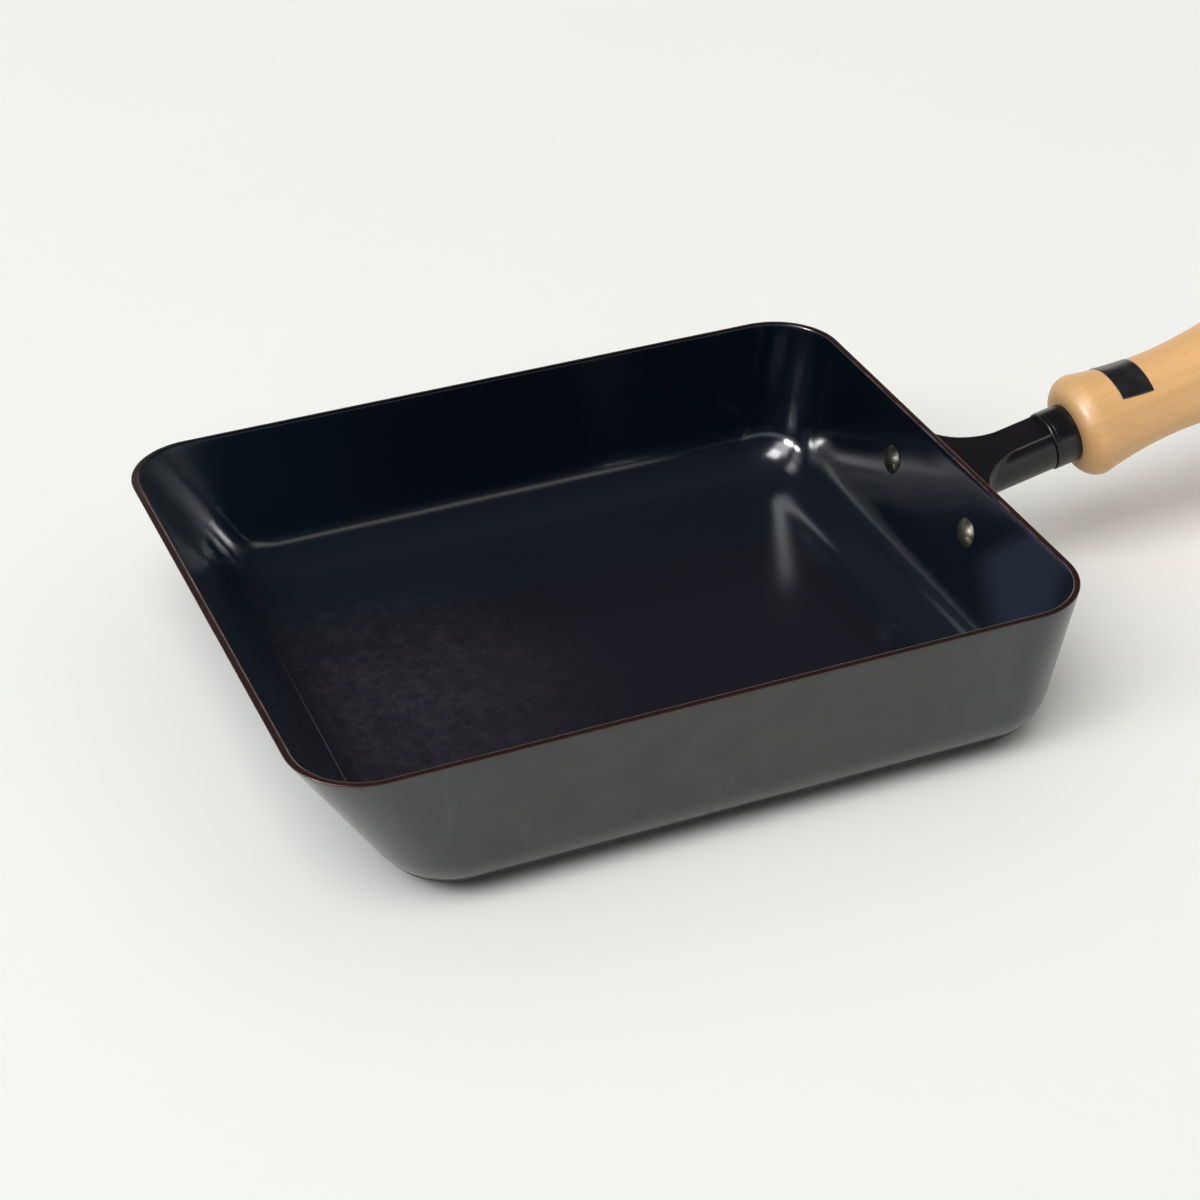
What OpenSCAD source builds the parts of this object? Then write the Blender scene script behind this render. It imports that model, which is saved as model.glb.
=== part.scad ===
// Rectangular rolled-omelette pan: a pressed steel pan, a forged handle bracket on two rivets,
// and a turned wooden grip held by a stud.
// Millimetres. +X towards the handle, +Z up. The origin lies on the flat underside, below the
// middle of the rim.

/* [Pan] */
// Length of the rim along the handle's direction
pan_length = 190; // [150:1:230]
// Width of the rim
pan_width = 153; // [120:1:200]
// Height of the rim above the table
pan_height = 42; // [36:1:60]
// Thickness of the steel sheet
sheet = 1.6; // [1:0.1:2.5]
// Plan radius of the rim's outer corners
rim_corner = 17.5; // [10:0.5:25]
// Plan radius of the flat floor's corners
floor_corner = 12; // [6:0.5:14]
// Outer radius where the walls curve into the floor
floor_fillet = 15; // [8:0.5:18]
// Slope of the two long walls from upright
side_draft = 5; // [1:0.5:12]
// Slope of the front wall, which the omelette rolls out over
front_draft = 32; // [15:1:38]
// Slope of the wall that carries the handle
handle_draft = 10; // [4:0.5:15]
// Rounding of the rim's cut edge
lip_round = 0.45; // [0.1:0.05:0.45]

/* [Handle bracket] */
// Height of the handle's axis where it leaves the rim
axis_height = 30; // [28:0.5:32]
// Upward tilt of the handle
handle_tilt = 11.7; // [5:0.1:18]
// Diameter of the bracket's round stub
stub_d = 14.3; // [13:0.1:16]
// Length of the stub past the rim, up to the ferrule
stub_length = 28.8; // [24:0.2:40]
// Height of the flat top above the handle's axis
flat_height = 5.2; // [4.6:0.1:6]
// Width of the flange on the wall
flange_width = 54; // [50:1:64]
// Thickness of the flange
flange_t = 4.8; // [4.2:0.1:6]
// Reach of the flange below the rivets
flange_drop = 7.3; // [6.5:0.1:9]
// Radius of the flange's corners
flange_corner = 4; // [1:0.5:6]
// Radius of the sweep from the stub into the flange, seen from above
sweep_r = 15.5; // [10:0.5:18]
// Radius of the fillet under the stub
under_fillet = 5; // [2:0.5:6]

/* [Rivets] */
// Distance between the two rivets
rivet_pitch = 38.2; // [34:0.2:42]
// Depth of the rivets below the rim
rivet_drop = 14.3; // [13.5:0.1:16]
// Diameter of a rivet's shank
rivet_d = 5; // [4:0.1:6]
// Diameter of the low head inside the pan
head_d = 7.3; // [7:0.1:9]
// Height of the head inside the pan
head_h = 1.5; // [1:0.1:2]
// Diameter of the closed head behind the flange
tail_head_d = 8; // [7:0.1:9]
// Height of the closed head behind the flange
tail_head_h = 2; // [1.4:0.1:2.6]
// Flange thickness left under the closed head
seat_t = 4; // [3:0.1:4.1]
// Gap round the closed head in its spot face
seat_gap = 1; // [0.5:0.1:1.5]
// Gap between a shank and its hole
rivet_clearance = 0.05; // [0.02:0.01:0.2]

/* [Ferrule and stud] */
// Outer diameter of the ferrule
ferrule_d = 15; // [14.4:0.1:17]
// Wall of the ferrule
ferrule_wall = 1; // [0.6:0.1:1.4]
// Length of the ferrule
ferrule_length = 7; // [5:0.5:12]
// Bevel on the ferrule's two outer edges
ferrule_bevel = 0.4; // [0.1:0.1:0.5]
// Gap between the ferrule and the wooden neck
neck_clearance = 0.05; // [0.02:0.01:0.2]
// Diameter of the stud
stud_d = 6; // [5:0.1:6.4]
// Length of the stud inside the bracket
stud_in_bracket = 14; // [10:0.5:18]
// Length of the stud inside the ferrule and the grip
stud_in_grip = 56; // [35:1:70]
// Free depth past each end of the stud
stud_end_gap = 0.8; // [0.3:0.1:2]
// Gap between the stud and its holes
stud_clearance = 0.05; // [0.02:0.01:0.2]

/* [Grip] */
// Length of the wood past the ferrule
grip_length = 132; // [115:1:160]
// Rounding of the grip's nose
nose_round = 5; // [3:0.5:7]
// Diameter that the grip's front flare runs out to
shoulder_d = 29; // [26:0.2:32]
// Diameter of the waist behind the nose
waist_d = 22; // [19:0.2:25]
// Distance of the waist from the nose
waist_at = 27; // [20:1:35]
// Diameter of the swell in the palm
swell_d = 28; // [25:0.2:32]
// Distance of the swell from the nose
swell_at = 66; // [55:1:80]
// Diameter where the rounded tail starts
tail_d = 25; // [22:0.2:28]
// Length of the rounded tail
tail_round = 13; // [8:0.5:15]
// Diameter of the hanging hole
hang_d = 8; // [6:0.5:10]
// Distance of the hanging hole from the tail's end
hang_inset = 20; // [16:0.5:25]

/* [Label] */
// Length of the bare black label along the grip
label_length = 9; // [6:1:14]
// Width of the label straight across its bent band
label_width = 16; // [6:0.5:18]
// Distance of the label from the nose
label_at = 12; // [7:1:20]
// Turn of the label from the top towards the near side
label_turn = 1; // [0:1:40]
// Thickness of the label
label_t = 0.2; // [0.1:0.05:0.4]

/* [Hidden] */

corner_steps = 12;
fillet_steps = 10;
lip_steps = 3;
grip_step = 1;
nose_steps = 8;
tail_steps = 14;
dome_steps = 6;
round_fn = 96;
reach = 60; // Size of the blocks that only cut or bound a shape
overcut = 1; // How far a hole's cutter runs past the face it opens
sweep_sink = 0.3; // Depth at which the sweeps and the lower fillet start inside what they join

rim_x = pan_length / 2;
tail_at = grip_length - tail_round;
nose_s = stub_length + ferrule_length;
neck_d = ferrule_d - 2 * ferrule_wall - 2 * neck_clearance;
stud_hole_d = stud_d + 2 * stud_clearance;
rivet_ys = [rivet_pitch / 2, -rivet_pitch / 2];

// Distance in from the rim's outer edge to the middle of a wall's bottom curve
function curve_middle(draft) = (pan_height - floor_fillet * (1 - sin(draft))) * tan(draft)
    + floor_fillet * cos(draft);

// Distance in from the rim's outer edge to the wall's surface at a height. The radius r is
// floor_fillet on the outside, and less by the sheet on the inside.
function wall_in(z, draft, r) =
    let(middle = curve_middle(draft), join = floor_fillet - r * sin(draft))
    z >= join ? middle - r * cos(draft) - (z - join) * tan(draft)
        : middle - sqrt(max(0, r * r - pow(floor_fillet - z, 2)));

// Plan radius of the corners at a height, from the floor's to the rim's
function corner_at(z, r, top_corner) =
    let(low = wall_in(floor_fillet - r, side_draft, r), high = wall_in(pan_height, side_draft, r))
    floor_corner + (top_corner - floor_corner) * (low - wall_in(z, side_draft, r)) / (low - high);

// One closed ring of the pan's surface at a height; cut draws it in from the wall
function ring(z, r, top_corner, cut = 0) =
    let(
        corner = corner_at(z, r, top_corner) - cut,
        x_handle = rim_x - wall_in(z, handle_draft, r) - cut - corner,
        x_front = wall_in(z, front_draft, r) - rim_x + cut + corner,
        y_side = pan_width / 2 - wall_in(z, side_draft, r) - cut - corner,
        middles = [[x_handle, y_side], [x_front, y_side], [x_front, -y_side], [x_handle, -y_side]]
    )
    [for (q = [0 : 3], k = [0 : corner_steps])
        let(a = 90 * (q + k / corner_steps))
        [middles[q][0] + corner * cos(a), middles[q][1] + corner * sin(a), z]];

// Triangles of a skin through equal rings, closed by the first and the last ring
function skin_faces(rings) =
    let(n = len(rings[0]), m = len(rings))
    concat(
        [[for (j = [0 : n - 1]) j]],
        [for (i = [0 : m - 2], j = [0 : n - 1]) [i * n + j, (i + 1) * n + (j + 1) % n, i * n + (j + 1) % n]],
        [for (i = [0 : m - 2], j = [0 : n - 1]) [i * n + j, (i + 1) * n + j, (i + 1) * n + (j + 1) % n]],
        [[for (j = [n - 1 : -1 : 0]) (m - 1) * n + j]]
    );

function pan_rings() =
    let(inner = floor_fillet - sheet, inner_corner = rim_corner - sheet)
    concat(
        [for (i = [0 : fillet_steps]) ring(floor_fillet - floor_fillet * cos(90 * i / fillet_steps),
            floor_fillet, rim_corner)],
        [for (i = [0 : lip_steps]) let(a = 90 * i / lip_steps)
            ring(pan_height - lip_round * (1 - sin(a)), floor_fillet, rim_corner, lip_round * (1 - cos(a)))],
        [for (i = [lip_steps : -1 : 0]) let(a = 90 * i / lip_steps)
            ring(pan_height - lip_round * (1 - sin(a)), inner, inner_corner, -lip_round * (1 - cos(a)))],
        [for (i = [fillet_steps : -1 : 0]) ring(floor_fillet - inner * cos(90 * i / fillet_steps),
            inner, inner_corner)]
    );

// Radius of the wooden grip at a distance from its nose
function grip_body(u) = u < waist_at
    ? waist_d / 2 + (shoulder_d - waist_d) / 2 * pow((waist_at - u) / waist_at, 2)
    : u < swell_at
    ? waist_d / 2 + (swell_d - waist_d) / 4 * (1 - cos(180 * (u - waist_at) / (swell_at - waist_at)))
    : swell_d / 2 - (swell_d - tail_d) / 4 * (1 - cos(180 * (u - swell_at) / (tail_at - swell_at)));

// Places children with +X out of the handle's wall, +Z up along it, and the origin on the
// wall's outer face midway between the rivets
module on_wall()
    translate([rim_x - rivet_drop * tan(handle_draft), 0, pan_height - rivet_drop])
        rotate([0, handle_draft, 0]) children();

// Places children with +X along the handle's axis, measured from the rim's outer edge
module on_handle()
    translate([rim_x, 0, axis_height]) rotate([0, -handle_tilt, 0]) children();

// A cylinder along +X from x1 to x2
module rod(d, x1, x2)
    translate([x1, 0, 0]) rotate([0, 90, 0]) cylinder(d = d, h = x2 - x1, $fn = round_fn);

// A solid turned about +X from points [radius, x]
module turned(points)
    rotate([0, 90, 0]) rotate_extrude($fn = round_fn) polygon(points);

// Points [radius, x] of a low dome of height h on a base at x, rising towards +X where up is 1
function dome_points(d, h, x, up) =
    let(ball_r = (d * d / 4 + h * h) / (2 * h), edge = asin(d / 2 / ball_r))
    [for (i = [0 : dome_steps]) let(a = edge * i / dome_steps)
        [ball_r * sin(a), x + up * (h - ball_r + ball_r * cos(a))]];

module pan_body() {
    rings = pan_rings();
    color([0.12, 0.13, 0.15])
        difference() {
            polyhedron(points = [for (one = rings) each one], faces = skin_faces(rings));
            on_wall() for (y = rivet_ys) translate([0, y, 0])
                rod(rivet_d + 2 * rivet_clearance, -sheet - overcut, overcut);
        }
}

// The bracket's outline seen along the wall: the flange's middle and two concave sweeps, which
// start a little inside the flange's face and the stub
module bracket_plan() {
    half = sqrt(pow(stub_d / 2, 2) - pow(flat_height, 2)) - sweep_sink;
    end = flange_t - sweep_sink + sweep_r;
    difference() {
        translate([0, -half - sweep_r]) square([end, 2 * (half + sweep_r)]);
        for (side = [1, -1]) translate([end, side * (half + sweep_r)])
            circle(r = sweep_r, $fn = round_fn);
    }
}

// The bracket's outline seen from the side: a web as deep below the axis as the flat top is
// above it, with a fillet down to the flange
module bracket_side() {
    slope = handle_draft + handle_tilt;
    out = rivet_drop * tan(handle_draft);
    up = axis_height - pan_height + rivet_drop;
    // The handle's axis at the rim, in the wall's frame
    axis_n = out * cos(handle_draft) - up * sin(handle_draft);
    axis_v = out * sin(handle_draft) + up * cos(handle_draft);
    // Height of the web's underside at a distance from the wall
    function under(n) = axis_v + (n - axis_n) * tan(slope) - flat_height / cos(slope);
    end = flange_t + sweep_r;
    middle_n = flange_t - sweep_sink + under_fillet;
    middle_v = under(middle_n) - under_fillet / cos(slope);
    polygon(concat(
        [[0, reach / 2], [0, middle_v]],
        [for (i = [0 : fillet_steps]) let(a = 180 - (90 - slope) * i / fillet_steps)
            [middle_n + under_fillet * cos(a), middle_v + under_fillet * sin(a)]],
        [[end, under(end)], [end, reach / 2]]
    ));
}

// The flat plate on the wall, with round lower corners; the bracket's flat top cuts it off above
module flange_plate()
    rotate([90, 0, 90]) linear_extrude(flange_t) translate([0, -flange_drop]) union() {
        for (side = [1, -1]) translate([side * (flange_width / 2 - flange_corner), flange_corner])
            circle(r = flange_corner, $fn = round_fn);
        translate([-flange_width / 2, flange_corner]) square([flange_width, reach / 2]);
        translate([flange_corner - flange_width / 2, 0])
            square([flange_width - 2 * flange_corner, reach / 2]);
    }

module handle_bracket()
    color([0.1, 0.1, 0.11])
        difference() {
            intersection() {
                union() {
                    on_handle() rod(stub_d, -stub_d, stub_length);
                    on_wall() flange_plate();
                    on_wall() intersection() {
                        translate([0, 0, -reach / 2]) linear_extrude(reach) bracket_plan();
                        translate([0, reach / 2, 0]) rotate([90, 0, 0]) linear_extrude(reach) bracket_side();
                    }
                }
                on_wall() translate([0, -reach / 2, -reach / 2]) cube(reach);
                on_handle() translate([-reach / 2, -reach / 2, flat_height - reach])
                    cube([2 * reach, reach, reach]);
            }
            on_handle() rod(stud_hole_d, stub_length - stud_in_bracket - stud_end_gap, stub_length + overcut);
            on_wall() for (y = rivet_ys) translate([0, y, 0]) {
                rod(rivet_d + 2 * rivet_clearance, -overcut, flange_t + overcut);
                rod(tail_head_d + 2 * seat_gap, seat_t, flange_t + sweep_r);
            }
        }

// A rivet at a distance from the middle: head inside the pan, shank, closed head behind the flange
module rivet(y) {
    closed = dome_points(tail_head_d, tail_head_h, seat_t, 1);
    color([0.33, 0.32, 0.26])
        on_wall() translate([0, y, 0]) turned(concat(
            dome_points(head_d, head_h, -sheet, -1),
            [[rivet_d / 2, -sheet], [rivet_d / 2, seat_t]],
            [for (i = [dome_steps : -1 : 0]) closed[i]]
        ));
}

module rivet_far() rivet(rivet_ys[0]);

module rivet_near() rivet(rivet_ys[1]);

module ferrule() {
    outer = ferrule_d / 2;
    inner = outer - ferrule_wall;
    color([0.09, 0.09, 0.1])
        on_handle() translate([stub_length, 0, 0]) turned([
            [inner, 0],
            [outer - ferrule_bevel, 0],
            [outer, ferrule_bevel],
            [outer, ferrule_length - ferrule_bevel],
            [outer - ferrule_bevel, ferrule_length],
            [inner, ferrule_length]
        ]);
}

module tang_stud()
    color([0.6, 0.6, 0.6])
        on_handle() rod(stud_d, stub_length - stud_in_bracket, stub_length + stud_in_grip);

module handle_grip() {
    nose_middle = grip_body(nose_round) - nose_round;
    profile = concat(
        [[0, -ferrule_length], [neck_d / 2, -ferrule_length], [neck_d / 2, 0]],
        [for (i = [0 : nose_steps - 1]) let(a = 90 * i / nose_steps)
            [nose_middle + nose_round * sin(a), nose_round * (1 - cos(a))]],
        [for (u = [nose_round : grip_step : tail_at - grip_step / 2]) [grip_body(u), u]],
        [for (i = [0 : tail_steps]) let(a = 90 * i / tail_steps)
            [tail_d / 2 * cos(a), tail_at + tail_round * sin(a)]]
    );
    color([0.87, 0.68, 0.45])
        on_handle() translate([nose_s, 0, 0]) difference() {
            turned(profile);
            rod(stud_hole_d, -ferrule_length - overcut, stud_in_grip - ferrule_length + stud_end_gap);
            translate([grip_length - hang_inset, 0, -reach / 2])
                cylinder(d = hang_d, h = reach, $fn = round_fn);
        }
}

module grip_label() {
    stations = [for (u = [label_at : grip_step : label_at + label_length]) u];
    color([0.05, 0.05, 0.06])
        on_handle() translate([nose_s, 0, 0]) intersection() {
            turned(concat(
                [for (u = stations) [grip_body(u) + label_t, u]],
                [for (i = [len(stations) - 1 : -1 : 0]) [grip_body(stations[i]), stations[i]]]
            ));
            rotate([label_turn, 0, 0]) translate([0, -label_width / 2, 0])
                cube([grip_length, label_width, shoulder_d]);
        }
}

pan_body();
handle_bracket();
rivet_far();
rivet_near();
ferrule();
tang_stud();
handle_grip();
grip_label();
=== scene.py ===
"""Looks of a rectangular rolled-omelette pan: the pressed pan, its forged handle bracket, the
rivets, the ferrule and the turned beech grip, with the stage and the camera."""

import math

import bpy
import numpy as np
from bpy.props import FloatProperty, FloatVectorProperty, PointerProperty
from bpy.types import Operator, Panel, PropertyGroup
from mathutils import Matrix, Vector


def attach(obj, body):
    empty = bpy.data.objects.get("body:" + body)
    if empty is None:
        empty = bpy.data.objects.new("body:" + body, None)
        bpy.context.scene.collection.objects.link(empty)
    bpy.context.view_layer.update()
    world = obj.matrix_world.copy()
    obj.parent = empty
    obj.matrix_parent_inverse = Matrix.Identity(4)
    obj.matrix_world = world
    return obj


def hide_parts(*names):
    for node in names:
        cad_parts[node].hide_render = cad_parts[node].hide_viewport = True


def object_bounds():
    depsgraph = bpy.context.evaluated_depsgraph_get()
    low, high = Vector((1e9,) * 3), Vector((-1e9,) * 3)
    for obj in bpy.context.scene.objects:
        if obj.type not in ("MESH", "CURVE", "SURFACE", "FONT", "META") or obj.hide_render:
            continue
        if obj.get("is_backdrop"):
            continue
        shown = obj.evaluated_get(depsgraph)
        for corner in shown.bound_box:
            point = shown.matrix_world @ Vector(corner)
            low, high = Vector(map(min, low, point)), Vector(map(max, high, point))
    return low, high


bl_info = {
    "name": "Omelette pan looks",
    "version": (1, 0, 0),
    "blender": (4, 5, 0),
    "location": "View3D > Sidebar > Omelette Pan",
    "description": "Builds the visible surfaces, finishes and stage of a rectangular omelette pan",
    "category": "Object",
}

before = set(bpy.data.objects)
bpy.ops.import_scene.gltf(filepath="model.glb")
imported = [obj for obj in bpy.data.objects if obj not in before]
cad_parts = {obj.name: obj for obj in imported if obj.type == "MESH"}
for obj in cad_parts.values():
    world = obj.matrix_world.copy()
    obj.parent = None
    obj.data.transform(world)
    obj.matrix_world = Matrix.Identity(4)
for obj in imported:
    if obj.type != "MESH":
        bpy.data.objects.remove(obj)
CAD_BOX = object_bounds()

MM = 0.001
TAU = 2 * math.pi
ROOT = "root"
ACROSS = np.array([0.0, 1.0, 0.0])
CUT_ANGLE = math.radians(35)


# Sizes and finishes


def length(name, description, mm):
    """A length property given in millimetres and kept in metres."""
    return FloatProperty(name=name, description=description, default=mm * MM, min=0.0,
                         unit="LENGTH", subtype="DISTANCE", precision=5)


def angle(name, description, degrees):
    """An angle property given in degrees and kept in radians."""
    return FloatProperty(name=name, description=description, default=math.radians(degrees),
                         unit="ROTATION", subtype="ANGLE")


def share(name, description, value):
    """A plain number from 0 to 1."""
    return FloatProperty(name=name, description=description, default=value, min=0.0, max=1.0)


def colour(name, description, value):
    """A linear colour."""
    return FloatVectorProperty(name=name, description=description, default=value, size=3,
                               min=0.0, max=1.0, subtype="COLOR")


class PanSizes(PropertyGroup):
    rim_length: length("Rim length", "Length of the rim along the handle", 190)
    rim_width: length("Rim width", "Width of the rim", 153)
    height: length("Height", "Height of the rim above the table", 42)
    sheet: length("Sheet", "Thickness of the pressed sheet", 1.6)
    rim_corner: length("Rim corner", "Plan radius of the rim's outer corners", 17.5)
    floor_corner: length("Floor corner", "Plan radius of the floor's corners", 12)
    fillet: length("Floor fillet", "Outer radius from the walls into the floor", 15)
    lip: length("Lip rounding", "Rounding of the rim's cut edge", 0.45)
    side_draft: angle("Side draft", "Slope of the long walls", 5)
    front_draft: angle("Front draft", "Slope of the front wall", 32)
    handle_draft: angle("Handle draft", "Slope of the wall with the handle", 10)
    dent: length("Dent", "Depth of the unevenness that riveting leaves in the wall", 0.2)


class BracketSizes(PropertyGroup):
    axis_height: length("Axis height", "Height of the handle's axis at the rim", 30)
    tilt: angle("Tilt", "Upward tilt of the handle", 11.7)
    stub: length("Stub diameter", "Diameter of the round stub", 14.3)
    stub_length: length("Stub length", "Length of the stub past the rim", 28.8)
    flat: length("Flat height", "Height of the flat top above the axis", 5.2)
    width: length("Flange width", "Width of the flange on the wall", 54)
    thickness: length("Flange thickness", "Thickness of the flange", 4.8)
    drop: length("Flange drop", "Reach of the flange below the rivets", 7.3)
    corner: length("Flange corner", "Radius of the flange's lower corners", 4)
    sweep: length("Sweep", "Radius of the sweep from the stub into the flange", 15.5)
    under: length("Under fillet", "Radius of the fillet under the stub", 5)
    edge: length("Edge rounding", "Rounding of the forged edges", 0.5)
    crease: length("Crease rounding", "Rounding of the flat top's creases", 0.35)


class RivetSizes(PropertyGroup):
    pitch: length("Pitch", "Distance between the rivets", 38.2)
    drop: length("Drop", "Depth of the rivets below the rim", 14.3)
    shank: length("Shank", "Diameter of the shank", 5)
    head: length("Head", "Diameter of the head inside the pan", 7.3)
    head_height: length("Head height", "Height of the head inside the pan", 1.5)
    tail: length("Closed head", "Diameter of the closed head", 8)
    tail_height: length("Closed head height", "Height of the closed head", 2)
    seat: length("Seat", "Flange thickness left under the closed head", 4)
    seat_gap: length("Seat gap", "Gap round the closed head in its spot face", 1)


class GripSizes(PropertyGroup):
    ferrule: length("Ferrule", "Outer diameter of the ferrule", 15)
    ferrule_length: length("Ferrule length", "Length of the ferrule", 7)
    groove: length("Groove", "Depth of the fine joint line at the ferrule's pan side", 0.06)
    neck: length("Neck", "Diameter of the wooden neck in the ferrule", 12.9)
    grip: length("Grip", "Length of the wood past the ferrule", 132)
    nose: length("Nose", "Rounding of the grip's nose", 5)
    shoulder: length("Shoulder", "Diameter of the front flare", 29)
    waist: length("Waist", "Diameter of the waist", 22)
    waist_at: length("Waist place", "Distance of the waist from the nose", 27)
    swell: length("Swell", "Diameter of the swell in the palm", 28)
    swell_at: length("Swell place", "Distance of the swell from the nose", 66)
    tail: length("Tail", "Diameter where the tail starts", 25)
    tail_round: length("Tail rounding", "Length of the rounded tail", 13)
    hole: length("Hanging hole", "Diameter of the hanging hole", 8)
    hole_inset: length("Hole inset", "Distance of the hole from the tail's end", 20)
    label_length: length("Label length", "Length of the bare label", 9)
    label_width: length("Label width", "Width of the label across its bent band", 16)
    label_at: length("Label place", "Distance of the label from the nose", 12)
    label_turn: angle("Label turn", "Turn of the label towards the near side", 1)
    label_thickness: length("Label thickness", "Thickness of the label", 0.2)


class Finishes(PropertyGroup):
    outside: colour("Outside", "Rubbed grey of the pan's outside", (0.0075, 0.0078, 0.0082))
    inside: colour("Inside", "Blue-black of the pan's inside", (0.0012, 0.0038, 0.008))
    floor: colour("Floor", "Drier grey blue of the pan's floor", (0.007, 0.0105, 0.0155))
    stain: colour("Stain", "Browner middle of the pan's floor", (0.0096, 0.0088, 0.0138))
    dust: colour("Dust", "Dry brown bloom on the floor", (0.06, 0.056, 0.062))
    bare_edge: colour("Bare edge", "Copper brown of the rim's cut edge", (0.04, 0.017, 0.014))
    forged: colour("Forged", "Brown-black of the forged bracket", (0.005, 0.005, 0.0068))
    rivet: colour("Rivet", "Olive brown of the rivets", (0.084, 0.077, 0.054))
    stud: colour("Stud", "Bright steel of the stud", (0.55, 0.55, 0.53))
    beech: colour("Beech", "Oiled beech", (0.765, 0.44, 0.188))
    beech_dark: colour("Beech grain", "Darker grain of the beech", (0.56, 0.29, 0.112))
    label: colour("Label", "Bare black label", (0.012, 0.012, 0.014))
    table: colour("Table", "Pale table", (0.87, 0.88, 0.86))
    outside_gloss: share("Outside roughness", "Roughness of the pan's outside", 0.2)
    inside_gloss: share("Inside roughness", "Roughness of the pan's inside", 0.14)


GROUPS = {"omelette_pan": PanSizes, "omelette_bracket": BracketSizes,
          "omelette_rivets": RivetSizes, "omelette_grip": GripSizes,
          "omelette_finishes": Finishes}


# Meshes


def new_object(name, data):
    """A new object in the scene."""
    thing = bpy.data.objects.new(name, data)
    bpy.context.scene.collection.objects.link(thing)
    return thing


def smooth(mesh):
    """Shades every face of a mesh smoothly."""
    mesh.polygons.foreach_set("use_smooth", np.ones(len(mesh.polygons), bool))


def skin_mesh(name, rings, poles=(), marks=None):
    """A closed skin through equal rings of points, rings[i, j]. Quads join neighbouring rings.
    Triangles join the end rings to two pole points, or where there are no poles, the last ring
    joins the first. The faces turn outwards: where the signed volume, the sum of each triangle's
    determinant over six, comes out negative, every face is turned round. marks are point
    attributes, one value per ring point."""
    m, n = rings.shape[:2]
    points = np.concatenate([rings.reshape(-1, 3), *[[pole] for pole in poles]])
    i, j = np.meshgrid(np.arange(m - 1 if poles else m), np.arange(n), indexing="ij")
    k, up = (j + 1) % n, (i + 1) % m
    faces = [np.stack([i * n + j, i * n + k, up * n + k, up * n + j], -1).reshape(-1, 4)]
    triangles = [faces[0][:, :3], faces[0][:, [0, 2, 3]]]
    if poles:
        around, last = np.arange(n), (m - 1) * n
        after = (around + 1) % n
        caps = [np.stack([np.full(n, m * n), after, around], -1),
                np.stack([np.full(n, m * n + 1), last + around, last + after], -1)]
        faces, triangles = faces + caps, triangles + caps
    if np.linalg.det(points[np.concatenate(triangles)]).sum() < 0:
        faces = [part[:, ::-1] for part in faces]
    mesh = bpy.data.meshes.new(name)
    mesh.from_pydata(points.tolist(), [], sum((part.tolist() for part in faces), []))
    smooth(mesh)
    for mark, values in (marks or {}).items():
        whole = np.concatenate([values.reshape(-1), [values[0].mean(), values[-1].mean()]])
        layer = mesh.attributes.new(mark, "FLOAT", "POINT")
        layer.data.foreach_set("value", whole.astype(np.float32))
    mesh.update()
    return mesh


def add_piece(mesh, material, slot, *nodes):
    """A finished piece at the origin, named as its mesh, that rides on the part and stands for
    CAD nodes."""
    piece = new_object(mesh.name, mesh)
    mesh.materials.append(material)
    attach(piece, ROOT)
    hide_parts(*nodes)
    return piece


def cut_away(piece, cutters):
    """Takes the cutters' meshes out of a piece and keeps its sharper edges crisp. The result is
    a mesh of its own, and the cutters are removed."""
    for cutter in cutters:
        tool = new_object("cutter", cutter)
        cut = piece.modifiers.new("cut", "BOOLEAN")
        cut.operation, cut.solver, cut.object = "DIFFERENCE", "EXACT", tool
        shaped = piece.evaluated_get(bpy.context.evaluated_depsgraph_get())
        mesh = bpy.data.meshes.new_from_object(shaped)
        if not len(mesh.polygons):
            raise RuntimeError(f"cutting {piece.name} left nothing")
        piece.modifiers.remove(cut)
        mesh.name = piece.data.name
        piece.data = mesh
        bpy.data.objects.remove(tool)
    smooth(piece.data)
    piece.data.set_sharp_from_angle(angle=CUT_ANGLE)


class Axes:
    """A frame turned about y: along rises from x by the tilt, and up is square to it."""

    def __init__(self, origin, tilt):
        c, s = math.cos(tilt), math.sin(tilt)
        self.origin = np.array(origin)
        self.along, self.up = np.array([c, 0.0, s]), np.array([-s, 0.0, c])

    def place(self, s, y, h):
        """Points origin + s * along + y * across + h * up."""
        s, y, h = (part[..., None] for part in np.broadcast_arrays(s, y, h))
        return self.origin + s * self.along + y * ACROSS + h * self.up


def wall_axes(scene):
    """Along out of the riveted wall and up along it, from the point midway between the rivets
    on the wall's outer face."""
    pan, rivets = scene.omelette_pan, scene.omelette_rivets
    x = pan.rim_length / 2 - rivets.drop * math.tan(pan.handle_draft)
    return Axes([x, 0.0, pan.height - rivets.drop], -pan.handle_draft)


def handle_axes(scene):
    """Along the handle's axis, from the rim."""
    pan, bracket = scene.omelette_pan, scene.omelette_bracket
    return Axes([pan.rim_length / 2, 0.0, bracket.axis_height], bracket.tilt)


def rivet_place(scene, side):
    """Places points about the axis of the far (side 1) or the near (side -1) rivet."""
    wall, aside = wall_axes(scene), side * scene.omelette_rivets.pitch / 2
    return lambda n, y, v: wall.place(n, y + aside, v)


def turned(profile, place, start, steps=128):
    """Rings of a turned shape: each profile point (radius, distance) becomes the circle
    (distance, radius sin a, radius cos a) in the frame that place gives, a from 0 to a turn."""
    a = np.arange(steps) / steps * TAU
    radius, distance = profile[:, :1], profile[:, 1:]
    return place(start + distance + 0 * a, radius * np.sin(a), radius * np.cos(a))


def turned_mesh(name, profile, place, start, steps=128):
    """A turned solid whose profile's first and last points lie on the axis."""
    poles = [place(start + profile[k, 1], 0.0, 0.0) for k in (0, -1)]
    return skin_mesh(name, turned(profile[1:-1], place, start, steps), poles)


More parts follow.
